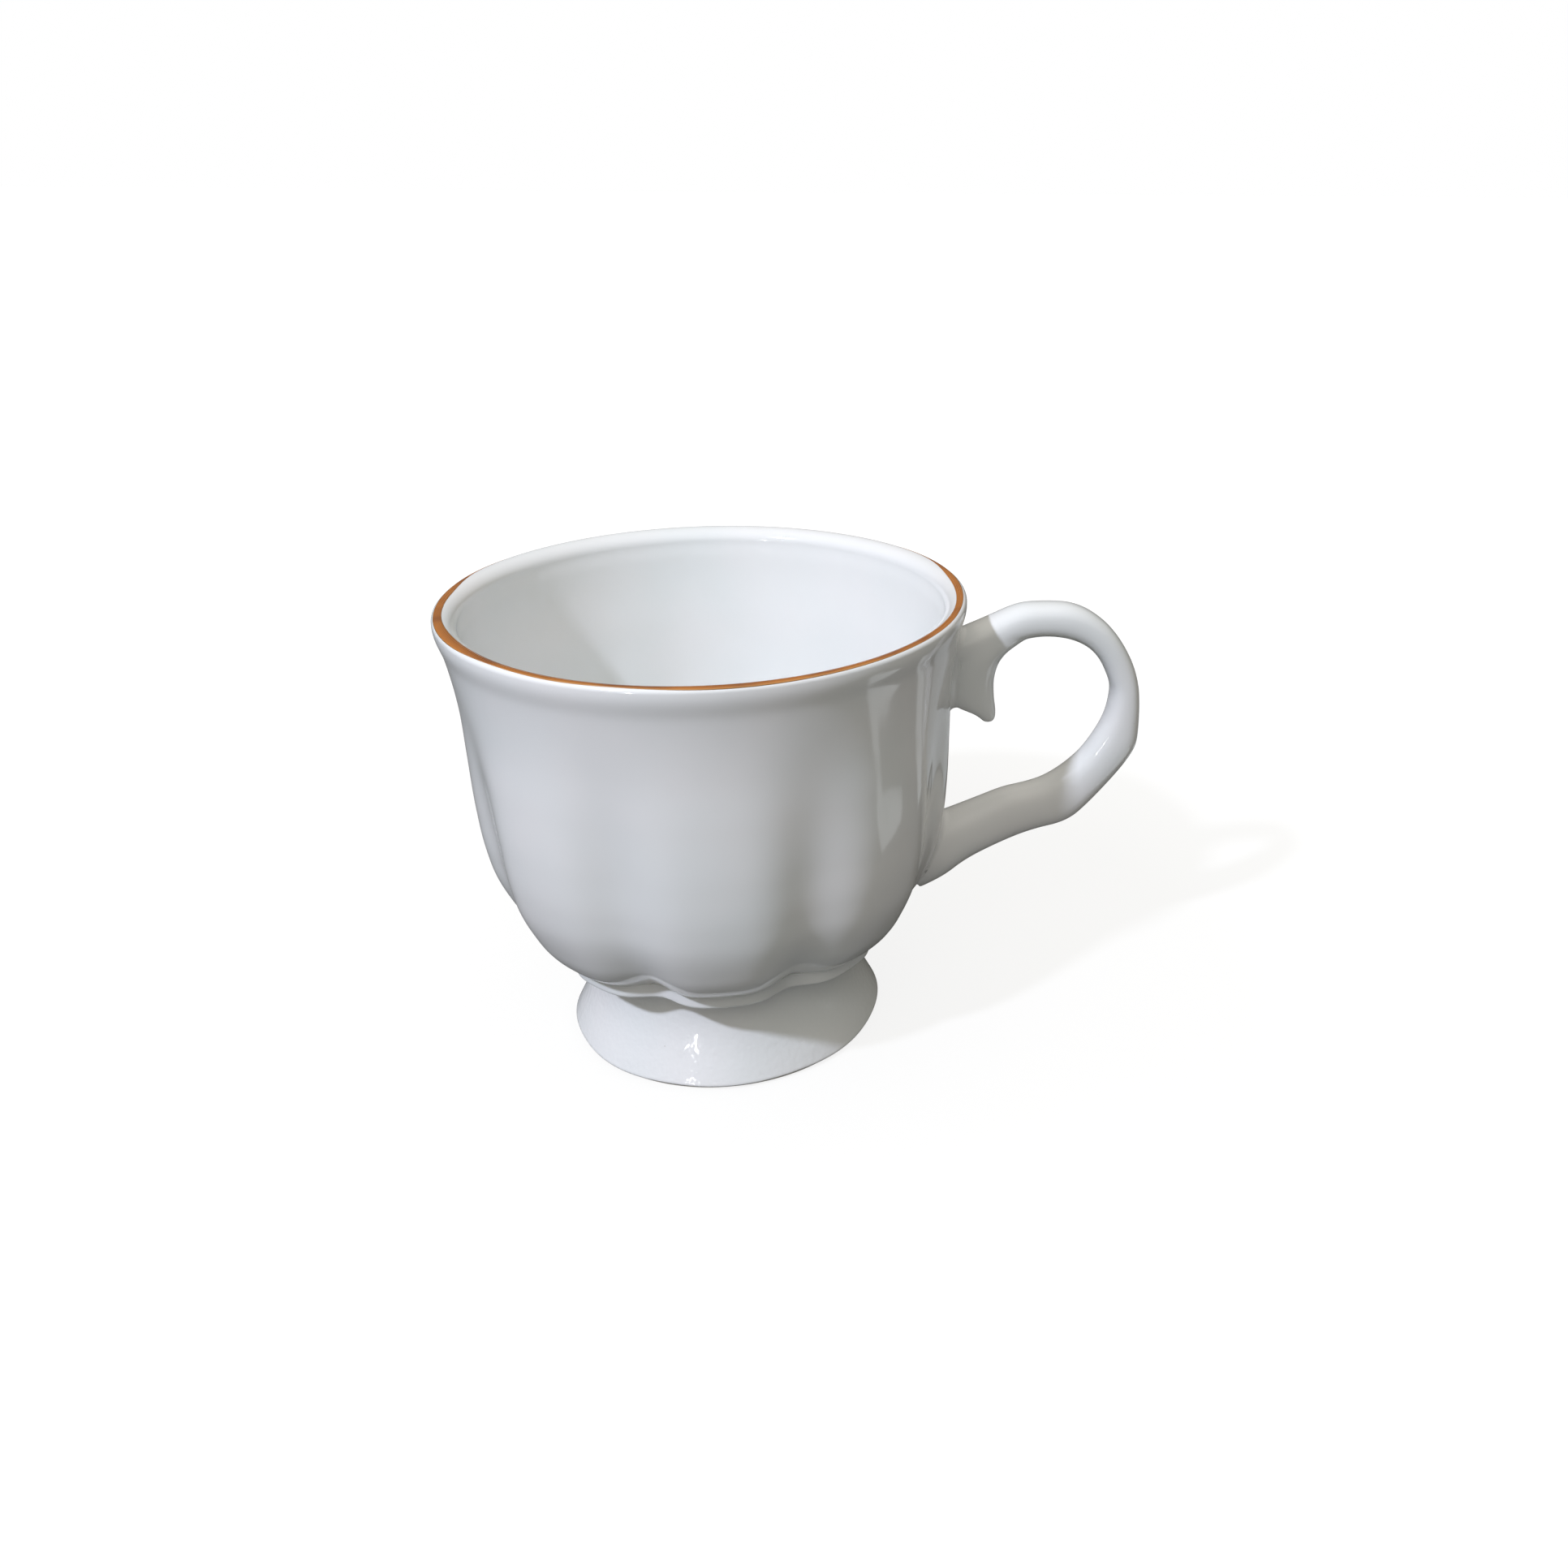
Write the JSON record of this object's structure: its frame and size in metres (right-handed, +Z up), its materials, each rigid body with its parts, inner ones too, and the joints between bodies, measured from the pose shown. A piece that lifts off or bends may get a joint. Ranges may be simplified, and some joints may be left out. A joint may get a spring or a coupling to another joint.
{
  "type": "teacup",
  "caption": "Footed teacup: a lobed bowl on a scalloped collar and a flared hollow foot, a loop handle with a spur, and a coloured line round the rim.",
  "frame": {"origin": "centre of the unglazed standing ring, on the table", "axes": "+Z up along the cup's axis, +X from the axis towards the handle, -Y the side that faces the picture's viewer"},
  "size_m": [0.1239, 0.09, 0.0826],
  "materials": {
    "glaze": "gloss",
    "enamel": "gloss",
    "bisque": "matte"
  },
  "bodies": {
    "root": {"bowl": "glaze", "rim_line": "enamel", "foot_joint": "glaze", "foot": "glaze", "standing_ring": "bisque", "handle": "glaze", "upper_handle_joint": "glaze", "lower_handle_joint": "glaze"}
  },
  "joints": []
}
